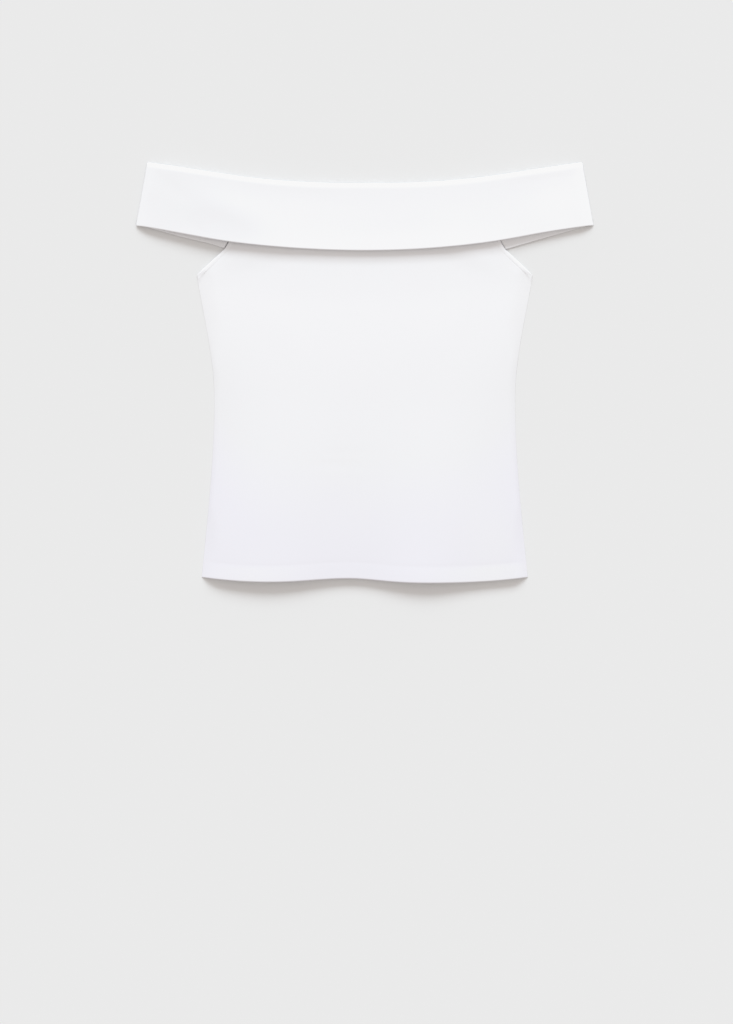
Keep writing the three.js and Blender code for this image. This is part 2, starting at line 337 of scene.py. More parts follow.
def neck_seam(x):
    return edge_height(FOLD, x) - STAND - SEAM


def side_half(y):
    """Half width of the body: two cubics that meet, level, at the waist."""
    end = BUST if y > WAIST.y else HEM
    length = abs(end.y - WAIST.y)
    t = abs(y - WAIST.y) / length
    widening = end.half - WAIST.half
    cubic = end.flare * length - 2 * widening
    return WAIST.half + (widening - cubic) * t * t + cubic * t * t * t


def inward(a, b):
    """The direction across the line from a to b, to its left."""
    return Vector((a.y - b.y, b.x - a.x)).normalized()


NECK_END = Vector((NECK_SEAM_HALF, neck_seam(NECK_SEAM_HALF)))
UNDERARM = Vector((BUST.half, BUST.y))
FROM_ARMHOLE = inward(UNDERARM, ARMHOLE_TOP)
FROM_STRAP = inward(ARMHOLE_TOP, NECK_END)


def armhole_edge(inset):
    """The underarm, the top of the armhole and the end of the neckline, moved in."""
    side_seam = Vector((BUST.flare, 1))
    low = UNDERARM + side_seam * (inset / side_seam.dot(FROM_ARMHOLE))
    mitre = FROM_ARMHOLE + FROM_STRAP
    corner = ARMHOLE_TOP + mitre * (inset / (1 + FROM_ARMHOLE.dot(FROM_STRAP)))
    neck_x = NECK_END.x + inset / FROM_STRAP.x
    return low, corner, Vector((neck_x, neck_seam(neck_x)))


def along_edge(edge, t):
    return edge[0].lerp(edge[1], t) if t < 1 else edge[1].lerp(edge[2], t - 1)


def outline_half(y):
    """Half width of the body, along its side seams and then its bound edges."""
    if y <= BUST.y:
        return side_half(y)
    low, high = (UNDERARM, ARMHOLE_TOP) if y < ARMHOLE_TOP.y else (ARMHOLE_TOP, NECK_END)
    return lerp(low.x, high.x, (y - low.y) / (high.y - low.y))


def from_side_seam(x, y):
    """Distance in from a side seam, and past its end at the underarm also upward."""
    return side_half(min(y, BUST.y)) - abs(x) + max(0, y - BUST.y)


def side_slope(x, y, waist_reach):
    """Rises from 0 at the side seams to 1, more slowly towards the bust and the hem."""
    reach = lerp(waist_reach, BUST_REACH.reach, smooth(y, BUST_REACH.start, BUST_REACH.full))
    reach = lerp(HEM_REACH.reach, reach, smooth(y, HEM_REACH.full, HEM_REACH.start))
    return slope_up(from_side_seam(x, y), reach)


def from_armhole_edge(x, y):
    """Distance in from the bound edge of the body, on either side."""
    place = Vector((abs(x), y))
    return max((place - UNDERARM).dot(FROM_ARMHOLE), (place - NECK_END).dot(FROM_STRAP))


def hem_rise(x):
    reach = HEM_NOTCH["left"] if x < HEM_NOTCH["x"] else HEM_NOTCH["right"]
    notch = math.exp(-(((x - HEM_NOTCH["x"]) / reach) ** 2))
    return HEM_LINE_RISE * (x / HEM.half) ** 4 + HEM_NOTCH["rise"] * notch


def back_underside(x, y):
    collar_edge = edge_height(FREE, x) + BACK_SHORTER - SEAM
    return (COLLAR_CLOTH + SEAM) * smooth(y, collar_edge - BACK_RAMP, collar_edge)


def between_layers(x, y):
    """Height of the middle between the front and the back body."""
    hem = (HEM_CLOTH - CLOTH) * (1 - smooth(y, HEM_RAMP["to"], HEM_RAMP["from"]))
    return back_underside(x, y) + CLOTH + SEAM / 2 + hem


def front_upper(x, y):
    """Height of the front body's upper side, as in the solid."""
    inset = outline_half(y) - abs(x)
    collar_edge = edge_height(FREE, x)
    is_open = 1 - smooth(y, collar_edge - PUFF["far"], collar_edge - PUFF["near"])
    puff = PUFF["height"] * is_open * smooth(inset, 0, PUFF["edge"])
    hem = (HEM_CLOTH - CLOTH) * (1 - smooth(y, HEM_RAMP["to"], HEM_RAMP["from"]))
    ridges = 0
    for ridge in RIDGES:
        middle = ridge.x + ridge.lean * (y - HEM.y)
        across = math.exp(-(((x - middle) / ridge.width) ** 2))
        ridges += ridge.height * across * (1 - smooth(y, RIDGE_FULL, ridge.top))
    off_edge = smooth(inset, 0, RIDGE_EDGE)
    half_stack = CLOTH + SEAM / 2 + hem
    return between_layers(x, y) + half_stack + puff + ridges * off_edge


def crease_height(x, y, creases):
    """Sum of soft troughs and ridges, each a long bell in its own direction."""
    height = 0
    for crease in creases:
        turn = math.radians(crease.turn)
        along = (x - crease.x) * math.cos(turn) + (y - crease.y) * math.sin(turn)
        across = (y - crease.y) * math.cos(turn) - (x - crease.x) * math.sin(turn)
        bell = math.exp(-((along / crease.length) ** 2) - (across / crease.width) ** 2)
        height += crease.height * bell
    return height


# Making meshes


def cloth_wall(name, columns, rows, facing, behind, place_on_cloth):
    """A closed wall of cloth between two skins over one grid, with its UV map in metres.

    facing and behind give a point for a column and a row, and place_on_cloth gives where that
    point lies on the flat cloth.
    """
    points = [skin(c, r) for skin in (facing, behind) for r in rows for c in columns]
    flat = [place_on_cloth(c, r) for _ in range(2) for r in rows for c in columns]
    wide = len(columns)
    back = wide * len(rows)
    faces = []
    for j in range(len(rows) - 1):
        for i in range(wide - 1):
            a = j * wide + i
            quad = (a, a + 1, a + wide + 1, a + wide)
            faces.append(quad)
            faces.append(tuple(corner + back for corner in reversed(quad)))
    border = list(range(wide))
    border += [j * wide + wide - 1 for j in range(1, len(rows))]
    border += [(len(rows) - 1) * wide + i for i in range(wide - 2, -1, -1)]
    border += [j * wide for j in range(len(rows) - 2, 0, -1)]
    for a, b in zip(border, border[1:] + border[:1]):
        faces.append((a, a + back, b + back, b))
    mesh = bpy.data.meshes.new(name)
    mesh.from_pydata(points, [], faces)
    uv_map = mesh.uv_layers.new(name="Cloth")
    for loop in mesh.loops:
        uv_map.data[loop.index].uv = flat[loop.vertex_index]
    mesh.shade_smooth()
    piece = bpy.data.objects.new(name, mesh)
    bpy.context.scene.collection.objects.link(piece)
    return piece


def shade_cloth(piece, shade_at):
    """Gives every point of a piece its painted shade, from 0 for the plain colour to 1."""
    shade = piece.data.attributes.new(name="shade", type="FLOAT", domain="POINT")
    for point, value in zip(piece.data.vertices, shade.data):
        value.value = shade_at(*point.co)


def body_shade(x, y, _):
    """Painted shade: a trace deeper down the body, where the light falls off, at its sides, where
    the cloth rounds over, and below the collar's shadow; less deep on the doubled hem, and
    painted light at the hem's right corner.
    """
    down = 1 - smooth(y, HEM.y, FREE.y)
    fade = SHADE_BELOW_COLLAR
    below_collar = fade.share * (1 - smooth(edge_height(FREE, x) - y, fade.start, fade.end))
    inset = max(0, outline_half(y) - abs(x))
    sides = SHADE_AT_SIDES["share"] * math.exp(-inset / SHADE_AT_SIDES["reach"])
    sides *= 1 - SHADE_AT_SIDES["less_at_bust"] * smooth(y, WAIST.y, BUST.y)
    above_hem = y - HEM.y - hem_rise(x)
    hem = LIGHT_ON_HEM.share * (1 - smooth(above_hem, LIGHT_ON_HEM.start, LIGHT_ON_HEM.end))
    hem *= smooth(abs(x), HEM_LIGHT_ACROSS["none"], HEM_LIGHT_ACROSS["full"])
    return down + below_collar + sides - hem - crease_height(x, y, [PAINTED_LIGHT_CORNER])


def collar_shade(x, y, _):
    """Painted shade, a trace deeper near the left shoulder and in a hollow there, and painted
    light towards the right one.
    """
    left, right = SHADE_TO_LEFT, PAINTED_LIGHT_TO_RIGHT
    towards_left = left.share * smooth(-x, left.start, left.end)
    towards_right = right.share * smooth(x, right.start, right.end)
    deeper = towards_left - towards_right + crease_height(x, y, [PAINTED_HOLLOW_SHADE])
    return min(GREYEST, COLLAR_SHADE + deeper)


def sew_on(piece, node, material):
    """Finishes a piece of cloth: its material, its body and the solid it stands for."""
    piece.data.materials.append(material)
    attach(piece, "root")
    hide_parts(node)


# Body

# A row's half width and level, the shares to which it follows the hem's line and bends to the
# neckline, the neckline's half width, and how far up from the hem the row is
Row = namedtuple("Row", "half level follow bent neck_half from_hem")
# Rows near the hem's edge and its line of stitches, in millimetres above the hem
NEAR_HEM = [0, 0.1, 0.3, 0.6, 1, 1.6, 2.6, 4.5, 7, 10, 13, 16, 17.5, 18.5, 19, 19.5, 20]
ROWS_UP, ROWS_AT_ARMHOLE, ROWS_TO_NECK = 110, 12, 22
COLUMNS_ACROSS = {"front": 120, "back": 80}


def body_rows(sizes, hem_shorter):
    """Rows of a body panel from the hem to the neckline seam, closest near hem and edges."""
    inner_edge = armhole_edge(sizes.binding_width - UNDER_BINDING)
    underarm, _, neck = inner_edge
    hem_start = HEM.y + hem_shorter
    levels = [(hem_start + distance * MM, distance * MM) for distance in NEAR_HEM]
    first = NEAR_HEM[-1] * MM + 1 * MM
    upward = steps(hem_start + first, underarm.y, ROWS_UP)
    levels += [(level, level - hem_start) for level in upward]
    rows = []
    for level, from_hem in levels:
        follow = 1 - smooth(level, HEM.y + sizes.hem_depth, HEM_LINE_FADES)
        half = side_half(level + follow * HEM_LINE_RISE)
        rows.append(Row(half, level, follow, 0, neck.x, from_hem))
    for t in steps(0, 1, ROWS_AT_ARMHOLE)[1:] + steps(1, 2, ROWS_TO_NECK)[1:]:
        place = along_edge(inner_edge, t)
        level = along_edge(inner_edge, min(1, t)).y
        rows.append(Row(place.x, level, 0, max(0, t - 1), neck.x, FAR))
    return rows


def body_columns(count):
    """Shares across the body from -1 to 1, closer towards its sides."""
    return [math.sin(t * math.pi / 2) for t in steps(-1, 1, count)]


def body_place(column, row):
    """Place of a column and a row. The highest rows bend to the neckline's seam."""
    x = column * row.half
    y = row.level + row.follow * hem_rise(x)
    return x, lerp(y, neck_seam(x / row.half * row.neck_half), row.bent)


def cloth_section(x, y, row, outer, sizes):
    """The two heights of a body panel's wall at a place, rounded in at its edges.

    outer is the height of the panel's outer side. Both panels come down to the side seam.
    """
    out = 1 if outer > between_layers(x, y) else -1
    thick = HEM_CLOTH if row.from_hem <= sizes.hem_depth else CLOTH
    beside_binding = from_armhole_edge(x, y) - sizes.binding_width
    sunk = BODY_SINKS["depth"] * (1 - roll(beside_binding, BODY_SINKS["reach"]))
    side = side_slope(x, y, sizes.side_roll)
    high = lerp(2 * SEAM_LIE if out > 0 else 0, outer - out * sunk, side)
    low = lerp(SEAM_LIE, outer - out * thick, side)
    centre = (high + low) / 2
    rounding = max(THINNEST["panel"], roll(row.from_hem, sizes.edge_radius))
    return centre + (high - centre) * rounding, centre + (low - centre) * rounding


def front_outer(x, y, row, sizes):
    """Height of the front's outer side, with its creases, hem line and curl."""
    inset = outline_half(y) - abs(x)
    creases = crease_height(x, y, FRONT_CREASES) * smooth(inset, 0, CREASES_FADE)
    curl = sizes.hem_curl * (1 - smooth(row.from_hem, 0, sizes.hem_depth))
    off_notch = smooth(abs(x - HEM_NOTCH["x"]), NOTCH_CURL["near"], NOTCH_CURL["far"])
    curl *= lerp(NOTCH_CURL["share"], 1, off_notch)
    off_seam = (row.from_hem - sizes.hem_depth + HEM_SEAM["below_top"]) / HEM_SEAM["width"]
    hem_seam = HEM_SEAM["depth"] * math.exp(-(off_seam**2))
    return front_upper(x, y) + creases + curl - hem_seam


def front_panel(sizes, material):
    def section(column, row):
        x, y = body_place(column, row)
        outer = front_outer(x, y, row, sizes)
        return x, y, cloth_section(x, y, row, outer, sizes)

    def facing(column, row):
        x, y, (high, _) = section(column, row)
        return x, y, high

    def behind(column, row):
        x, y, (_, low) = section(column, row)
        return x, y, low

    columns = body_columns(COLUMNS_ACROSS["front"])
    rows = body_rows(sizes, 0)
    panel = cloth_wall("front_panel", columns, rows, facing, behind, body_place)
    # Painted light and shade on the front body
    shade_cloth(panel, body_shade)
    sew_on(panel, "front_body", material)
    return panel


def back_panel(sizes, material):
    def section(column, row):
        x, y = body_place(column, row)
        rise = crease_height(x, y, BACK_CREASES)
        high, low = cloth_section(x, y, row, back_underside(x, y), sizes)
        return x, y, (high + rise, low + rise)

    def facing(column, row):
        x, y, (_, low) = section(column, row)
        return x, y, low

    def behind(column, row):
        x, y, (high, _) = section(column, row)
        return x, y, high

    columns = body_columns(COLUMNS_ACROSS["back"])
    rows = body_rows(sizes, BACK_HEM_SHORTER)
    panel = cloth_wall("back_panel", columns, rows, facing, behind, body_place)
    sew_on(panel, "back_body", material)
    return panel


# Bindings

BINDING_PROUD = 0.06 * MM
BINDING_CROWN = 0.05 * MM
BINDING_RADIUS = 0.7 * MM  # at its outer edge
BINDING_SINKS = {"depth": 0.1 * MM, "reach": 1.4 * MM}  # at its inner edge
BINDING_FLAT_UNDER_COLLAR = 6 * MM
BINDING_STEPS = {"armhole": 30, "strap": 50}  # along each part of the edge
BINDING_ACROSS = [0, 0.03, 0.08, 0.16, 0.3, 0.5, 0.7, 0.84, 0.92, 0.97, 1]
STITCHES_ACROSS = 0.76
STITCHES_START = 0.02
STITCHES_END = 1.32  # just under the collar
STITCHES_POINTS = 40
STITCHES_SINK = 0.04 * MM
STITCH_GAP = 0.6 * MM


def binding_height(x, y, is_front):
    """Heights of a binding's upper and lower side, pressed flatter than its solid."""
    if not is_front:
        low = back_underside(x, y)
        return low + CLOTH, low
    collar_edge = edge_height(FREE, x)
    is_open = 1 - smooth(y, collar_edge - BINDING_FLAT_UNDER_COLLAR, collar_edge)
    high = front_upper(x, y)
    return high + BINDING_PROUD * is_open, high - CLOTH


def armhole_binding(sizes, side, is_front, material):
    """A narrow strip of the knit, folded round the cut edge and stitched down."""
    outer = armhole_edge(0)
    inner = armhole_edge(sizes.binding_width)

    def place(along, across):
        spot = along_edge(outer, along).lerp(along_edge(inner, along), across)
        return side * spot.x, spot.y

    def section(along, across):
        x, y = place(along, across)
        high, low = binding_height(x, y, is_front)
        width = sizes.binding_width
        rounding = max(THINNEST["binding"], roll(across * width, BINDING_RADIUS))
        crown = BINDING_CROWN * math.sin(math.pi * across) if is_front else 0
        from_inner = smooth((1 - across) * width, 0, BINDING_SINKS["reach"])
        crown -= BINDING_SINKS["depth"] * (1 - from_inner)
        side_rise = side_slope(x, y, sizes.side_roll)
        high = lerp(2 * SEAM_LIE if is_front else SEAM_LIE, high + crown, side_rise)
        low = lerp(SEAM_LIE if is_front else 0, low, side_rise)
        centre = (high + low) / 2
        return x, y, centre + (high - centre) * rounding, centre + (low - centre) * rounding

    def facing(along, across):
        x, y, high, _ = section(along, across)
        return x, y, high

    def behind(along, across):
        x, y, _, low = section(along, across)
        return x, y, low

    alongs = steps(0, 1, BINDING_STEPS["armhole"]) + steps(1, 2, BINDING_STEPS["strap"])[1:]
    skins = (facing, behind) if side > 0 else (behind, facing)
    face = "front" if is_front else "back"
    hand = "right" if side > 0 else "left"
    node = f"armhole_binding_{face}_{hand}"
    strip = cloth_wall(f"binding_{face}_{hand}", alongs, BINDING_ACROSS, *skins, place)
    sew_on(strip, node, material)
    return strip


def ball(around, upward):
    """Points and faces of a ball of radius 1, with its poles up and down, alike each run."""
    points = [(0, 0, 1)]
    for tilt in steps(0, math.pi, upward)[1:-1]:
        for turn in steps(0, 2 * math.pi, around)[:-1]:
            flat = math.sin(tilt)
            points.append((flat * math.cos(turn), flat * math.sin(turn), math.cos(tilt)))
    points.append((0, 0, -1))
    bottom = len(points) - 1
    faces = []
    for i in range(around):
        following = (i + 1) % around
        faces.append((0, 1 + i, 1 + following))
        for ring in range(1, bottom - around, around):
            below = ring + around
            faces.append((ring + i, below + i, below + following, ring + following))
        faces.append((bottom, bottom - around + following, bottom - around + i))
    return points, faces


def stitch_row(name, path, length, gap, thread, material):
    """Small stitches along a path of points, each a plump bar half sunk in the cloth."""
    ball_points, ball_faces = ball(around=8, upward=6)
    points = []
    faces = []
    travelled = gap
    for start, end in zip(path, path[1:]):
        way = end - start
        turned = way.to_track_quat("X", "Z").to_matrix()
        while travelled + length / 2 < way.length:
            spot = start + way.normalized() * travelled
            faces += [[corner + len(points) for corner in face] for face in ball_faces]
            for x, y, z in ball_points:
                points.append(spot + turned @ Vector((x * length, y * thread, z * thread)) / 2)
            travelled += length + gap
        travelled -= way.length
    mesh = bpy.data.meshes.new(name)
    mesh.from_pydata(points, [], faces)
    mesh.shade_smooth()
    row = bpy.data.objects.new(name, mesh)
    bpy.context.scene.collection.objects.link(row)
    mesh.materials.append(material)
    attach(row, "root")
    return row


def binding_stitches(sizes, side, material):
    """The row of stitches that holds the front binding down, near its inner edge."""
    line = armhole_edge(STITCHES_ACROSS * sizes.binding_width)
    path = []
    for t in steps(STITCHES_START, STITCHES_END, STITCHES_POINTS):
        spot = along_edge(line, t)
        high = binding_height(spot.x, spot.y, True)[0]
        path.append(Vector((side * spot.x, spot.y, high - STITCHES_SINK)))
    hand = "right" if side > 0 else "left"
    name = f"binding_stitches_{hand}"
    length = sizes.stitch_length - STITCH_GAP
    return stitch_row(name, path, length, STITCH_GAP, sizes.thread, material)


# Collar

SectionRow = namedtuple("SectionRow", "outer inner loose from_edge length")
NEAR_EDGE = [0, 0.1, 0.3, 0.6, 1, 1.6, 2.6]  # rows, in millimetres from the loose edge
COLLAR_SAG = {"depth": 0.3 * MM, "reach": 6 * MM}  # towards the fold
ROWS_ROUND_FOLD, ROWS_DOWN_STAND = 16, 4
FLAP_ROWS = {"front": 34, "back": 16}
COLLAR_COLUMNS = {"front": 150, "back": 90}
COLUMNS_ROUND_END = 9


def collar_section(flap_rows):
    """The collar's section from the loose edge over the fold to the stand's seam.

    outer and inner are (distance below the fold, height) of the two skins, loose is 1 where the
    row lifts with the loose edge, from_edge is its distance from that edge, and length is how
    far along the cloth it lies.
    """
    flap_inner = STACK - COLLAR_CLOTH
    turn_middle = flap_inner - SEAM / 2
    turn_depth = (STACK - MIDDLE) / 2
    downs = [COLLAR_DEPTH - distance * MM for distance in NEAR_EDGE]
    downs += steps(COLLAR_DEPTH - 5 * MM, turn_depth, flap_rows)[:-1]
    rows = []
    for down in downs:
        sag = COLLAR_SAG["depth"] * (1 - roll(down, COLLAR_SAG["reach"]))
        from_edge = COLLAR_DEPTH - down
        outer = (down, STACK - sag)
        rows.append(SectionRow(outer, (down, flap_inner), 1, from_edge, from_edge))
    sag = COLLAR_SAG["depth"] * (1 - roll(turn_depth, COLLAR_SAG["reach"]))
    for turn in steps(0, math.pi, ROWS_ROUND_FOLD):
        thick = lerp(STACK - turn_middle, turn_middle - MIDDLE - SEAM / 2, turn / math.pi)
        thick -= sag * (1 - turn / math.pi)
        outer = (turn_depth * (1 - math.sin(turn)), turn_middle + thick * math.cos(turn))
        inner_down = turn_depth - SEAM / 2 * math.sin(turn)
        inner = (inner_down, turn_middle + SEAM / 2 * math.cos(turn))
        length = COLLAR_DEPTH - turn_depth + turn * turn_depth
        rows.append(SectionRow(outer, inner, 0, FAR, length))
    for down in steps(turn_depth, STAND, ROWS_DOWN_STAND)[1:]:
        length = COLLAR_DEPTH + math.pi * turn_depth + down - 2 * turn_depth
        outer = (down, MIDDLE + SEAM / 2)
        rows.append(SectionRow(outer, (down, flap_inner - SEAM), 0, FAR, length))
    return rows


def collar_columns(count):
    """Columns (across, turn): a quarter turn round each shoulder end, and straight between."""
    turns = steps(math.pi / 2, 0, COLUMNS_ROUND_END)[:-1]
    left = [(-1, turn) for turn in turns]
    right = [(1, turn) for turn in reversed(turns)]
    return left + [(across, 0) for across in steps(-1, 1, count)] + right


def edge_lift(x, across):
    """How far the loose edge stands off the body, less towards the shoulders."""
    lift = FREE_EDGE_LIFT * (1 - across**4)
    for wave in LIFT_WAVES:
        lift += wave.height * math.exp(-(((x - wave.x) / wave.width) ** 2))
    return lift * (1 - across**8)


def pressed(x, y, z, fold_roll):
    """Height z, less where the collar rounds over to its fold and its shoulder ends."""
    press = END_PRESS[1 if x > 0 else -1]
    below_fold = edge_height(FOLD, x) - y
    from_end = lerp(FOLD.end, FREE.end, below_fold / COLLAR_DEPTH) - abs(x)
    thinner = press.thinner * (1 - smooth(from_end, 0, press.reach))
    at_end = DOWN_AT_END * (1 - slope_up(from_end, END_ROLL))
    at_fold = DOWN_AT_FOLD * (1 - slope_up(below_fold, fold_roll))
    return z * (1 - thinner) * (1 - at_end) * (1 - at_fold)


def edge_wander(x):
    """How far the loose edge is up or down from its arc."""
    return sum(w.height * math.exp(-(((x - w.x) / w.width) ** 2)) for w in EDGE_WANDERS)


def collar_point(column, place, loose, shorter):
    """A point of the collar, for a place (distance below the fold, height) in its section.

    The back is shorter, and its shoulder ends are flush with the front's.
    """
    across, turn = column
    down, height = place
    share = down / COLLAR_DEPTH
    turn_line = lerp(FOLD.end, FREE.end, share * (1 - shorter / COLLAR_DEPTH)) - MIDDLE
    lift = edge_lift(across * turn_line, across) if loose else 0
    off = height + lift * share**LIFT_POWER - MIDDLE
    x = across * turn_line + math.copysign(1, across) * off * math.sin(turn)
    y = lerp(edge_height(FOLD, x), edge_height(FREE, x) + shorter, share)
    apart = SEAM / 4 * (1 - math.cos(turn))
    return x, y, MIDDLE + off * math.cos(turn) + apart


def collar(sizes, is_front, material):
    """One side of the fold-over collar. The back one is the front one turned over."""
    shorter = 0 if is_front else BACK_SHORTER

    def point(column, row, is_outer):
        down, height = row.outer if is_outer else row.inner
        centre = (row.outer[1] + row.inner[1]) / 2
        rounding = max(THINNEST["panel"], roll(row.from_edge, sizes.edge_radius))
        height = centre + (height - centre) * rounding
        x, y, z = collar_point(column, (down, height), is_front and row.loose, shorter)
        if not is_front:
            return x, y, pressed(x, y, STACK - z, sizes.fold_roll)
        fade = smooth(down, COLLAR_CREASES_FADE["none"], COLLAR_CREASES_FADE["full"])
        z += row.loose * fade * math.cos(column[1]) * crease_height(x, y, COLLAR_CREASES)
        z = pressed(x, y, z, sizes.fold_roll)
        return x, y + edge_wander(x) * (down / COLLAR_DEPTH) ** 2, z

    def outer(column, row):
        return point(column, row, True)

    def inner(column, row):
        return point(column, row, False)

    def place_on_cloth(column, row):
        across, turn = column
        return across * (FOLD.end + turn * MIDDLE), row.length

    skins = (outer, inner) if is_front else (inner, outer)
    face = "front" if is_front else "back"
    rows = collar_section(FLAP_ROWS[face])
    columns = collar_columns(COLLAR_COLUMNS[face])
    piece = cloth_wall(f"{face}_fold_over", columns, rows, *skins, place_on_cloth)
    # Painted light and shade on the front collar
    if is_front:
        shade_cloth(piece, collar_shade)
    sew_on(piece, f"{face}_collar", material)
    return piece


# Straps

STRAP_WIDTH = 70 * MM
STRAP_RADIUS = 0.6 * MM
STRAP_ROWS = [0, 0.002, 0.005, 0.01, 0.02]  # nearest to its lower edge
STRAP_STEPS = {"along": 40, "round": 14, "up": 20}


def shoulder_strap(sizes, side, material):
    """A strap from the front body round the shoulder to the back body."""
    upper_end = lerp(FOLD.end, FREE.end, (STAND + SEAM) / COLLAR_DEPTH) - MIDDLE
    lower_end = FREE.end - MIDDLE - SEAM
    flat = steps(0, 1, STRAP_STEPS["along"])
    columns = [(along, 0) for along in flat]
    columns += [(1, turn) for turn in steps(0, math.pi, STRAP_STEPS["round"])[1:-1]]
    columns += [(along, math.pi) for along in reversed(flat)]

    bow = STRAP_BOW.height if side < 0 else 0

    def place(along, row):
        lower_x = lerp(ARMHOLE_TOP.x, lower_end, along)
        upper_x = lerp(NECK_SEAM_HALF, upper_end, along)
        low_y = lerp(ARMHOLE_TOP.y, STRAP_END_Y, along)
        low_y += bow * math.exp(-(((lower_x - STRAP_BOW.x) / STRAP_BOW.width) ** 2))
        return lerp(lower_x, upper_x, row), lerp(low_y, neck_seam(upper_x), row)

    def skin(radius):
        def point(column, row):
            along, turn = column
            x, y = place(along, row)
            centre = CLOTH / 2 + SEAM / 2
            rounding = max(THINNEST["strap"], roll(row * STRAP_WIDTH, STRAP_RADIUS))
            rounded = centre + (radius - centre) * rounding
            clear = SEAM * (1 - along) + rounded * math.sin(turn)
            middle = back_underside(x, y) + CLOTH + SEAM / 2
            z = middle + rounded * math.cos(turn)
            fade = smooth(row * STRAP_WIDTH, STRAP_PRESS_FADES["full"], STRAP_PRESS_FADES["none"])
            z *= 1 - STRAP_PRESS[side] * (1 - fade)
            x = side * (x + clear)
            return x, y, pressed(x, y, z, sizes.fold_roll)

        return point

    def place_on_cloth(column, row):
        along, turn = column
        x, y = place(along, row)
        return (x if turn < math.pi / 2 else 2 * lower_end - x), y

    skins = [skin(CLOTH + SEAM / 2), skin(SEAM / 2)]
    if side < 0:
        skins.reverse()
    rows = STRAP_ROWS + steps(2 * STRAP_ROWS[-1], 1, STRAP_STEPS["up"])
    hand = "right" if side > 0 else "left"
    piece = cloth_wall(f"strap_{hand}", columns, rows, *skins, place_on_cloth)
    sew_on(piece, f"shoulder_strap_{hand}", material)
    return piece


# Materials

WAVE = 0.314  # metres from crest to crest of a wave texture at a scale of 1
WALE = 0.7 * MM
COURSE = 0.6 * MM
FUZZ = 2 * MM
COURSES_STAND, FUZZ_STANDS = 0.35, 0.8  # against 1 for the wales
TWIST = 0.5 * MM


def linear(hex_colour):
    """sRGB hex to a linear colour with alpha."""
    channels = [int(hex_colour[i : i + 2], 16) / 255 for i in (0, 2, 4)]
    curve = [c / 12.92 if c <= 0.04045 else ((c + 0.055) / 1.055) ** 2.4 for c in channels]
    return (*curve, 1)


def add_node(tree, kind, settings=None, inputs=None):
    """Adds a node, sets its properties, and sets or links its inputs."""
    node = tree.nodes.new(kind)
    for name, value in (settings or {}).items():
        setattr(node, name, value)
    for name, value in (inputs or {}).items():
        if isinstance(value, bpy.types.NodeSocket):
            tree.links.new(value, node.inputs[name])
        else:
            node.inputs[name].default_value = value
    return node


def new_material(name):
    material = bpy.data.materials.new(name)
    material.use_nodes = True
    tree = material.node_tree
    return material, tree, tree.nodes["Principled BSDF"]


def white_double_knit(finish):
    """Matt viscose and polyester double knit, smooth on both faces, with a soft dry surface.

    Its wales are about 0.7 mm apart and its courses 0.6 mm.
    """
    material, tree, shader = new_material("White Double Knit")
    place = add_node(tree, "ShaderNodeTexCoord")
    # The base colour is the knit mixed with its painted shade copies, by the painted light and
    # shade stored at each point
    shade = add_node(tree, "ShaderNodeAttribute", {"attribute_name": "shade"})
    tint = add_node(tree, "ShaderNodeValToRGB", inputs={"Fac": shade.outputs["Fac"]})
    stops = tint.color_ramp.elements
    stops[0].color = linear(finish.knit)
    stops[1].color = linear(finish.knit_cool)
    stops.new(GREYEST).color = linear(finish.knit_shade)
    tree.links.new(tint.outputs["Color"], shader.inputs["Base Color"])
    wales = add_node(
        tree,
        "ShaderNodeTexWave",
        {"bands_direction": "X"},
        {"Vector": place.outputs["UV"], "Scale": WAVE / WALE, "Distortion": 0.4},
    )
    courses = add_node(
        tree,
        "ShaderNodeTexWave",
        {"bands_direction": "Y"},
        {"Vector": place.outputs["UV"], "Scale": WAVE / COURSE, "Distortion": 0.6},
    )
    fuzz = add_node(
        tree,
        "ShaderNodeTexNoise",
        inputs={"Vector": place.outputs["UV"], "Scale": 1 / FUZZ, "Detail": 3},
    )
    stitches = add_node(
        tree,
        "ShaderNodeMath",
        {"operation": "MULTIPLY_ADD"},
        {0: courses.outputs["Fac"], 1: COURSES_STAND, 2: wales.outputs["Fac"]},
    )
    surface = add_node(
        tree,
        "ShaderNodeMath",
        {"operation": "MULTIPLY_ADD"},
        {0: fuzz.outputs["Fac"], 1: FUZZ_STANDS, 2: stitches.outputs["Value"]},
    )
    bump = add_node(
        tree,
        "ShaderNodeBump",
        inputs={"Strength": 0.2, "Distance": 0.06 * MM, "Height": surface.outputs["Value"]},
    )
    tree.links.new(bump.outputs["Normal"], shader.inputs["Normal"])
    shader.inputs["Roughness"].default_value = 0.9
    shader.inputs["Specular IOR Level"].default_value = 0.3
    shader.inputs["Sheen Weight"].default_value = 0.12
    shader.inputs["Sheen Roughness"].default_value = 0.5
    return material


def sewing_thread(finish):
    """Spun polyester thread, twisted: a trace shinier than the knit."""
    material, tree, shader = new_material("Sewing Thread")
    place = add_node(tree, "ShaderNodeTexCoord")
    twist = add_node(
        tree,
        "ShaderNodeTexWave",
        {"bands_direction": "DIAGONAL"},
        {"Vector": place.outputs["Object"], "Scale": WAVE / TWIST},
    )
    bump = add_node(
        tree,
        "ShaderNodeBump",
        inputs={"Strength": 0.3, "Distance": 0.05 * MM, "Height": twist.outputs["Fac"]},
    )
    tree.links.new(bump.outputs["Normal"], shader.inputs["Normal"])
    shader.inputs["Base Color"].default_value = linear(finish.knit)
    shader.inputs["Roughness"].default_value = 0.6
    return material


def matt_paper(finish):
    """Plain matt background paper, without grain at this distance."""
    material, _, shader = new_material("Matt Paper")
    shader.inputs["Base Color"].default_value = linear(finish.floor)
    shader.inputs["Roughness"].default_value = 1
    shader.inputs["Specular IOR Level"].default_value = 0
    return material


def material_named(name, make):
    """The material of that name, made once."""
    found = bpy.data.materials.get(name)
    return found or make(bpy.context.scene.top_finish)


